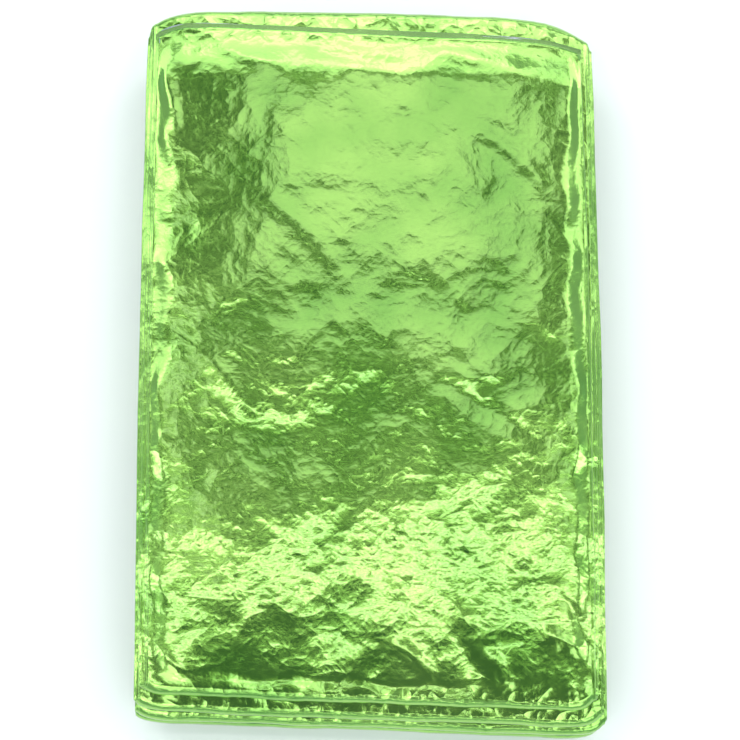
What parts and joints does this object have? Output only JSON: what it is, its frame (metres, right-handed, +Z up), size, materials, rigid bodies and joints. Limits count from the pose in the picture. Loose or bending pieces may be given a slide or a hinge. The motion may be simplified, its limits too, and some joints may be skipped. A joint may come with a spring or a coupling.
{
  "type": "emergency foil blanket",
  "caption": "Metallised emergency foil blanket, folded side to side into a band and then back and forth into a flat packet with soft, rounded edges.",
  "frame": {"origin": "middle of the underside, on the surface that the packet lies on", "axes": "+Z up through the folded layers, +Y along the packet's length towards the end where the top layer's free edge lies, +X across the packet to the right"},
  "size_m": [0.0806, 0.1276, 0.0204],
  "materials": {
    "gold_foil": "metallised greenish gold film, glossy, finely creased"
  },
  "bodies": {
    "root": {"foil_blanket": "gold_foil"}
  },
  "joints": []
}
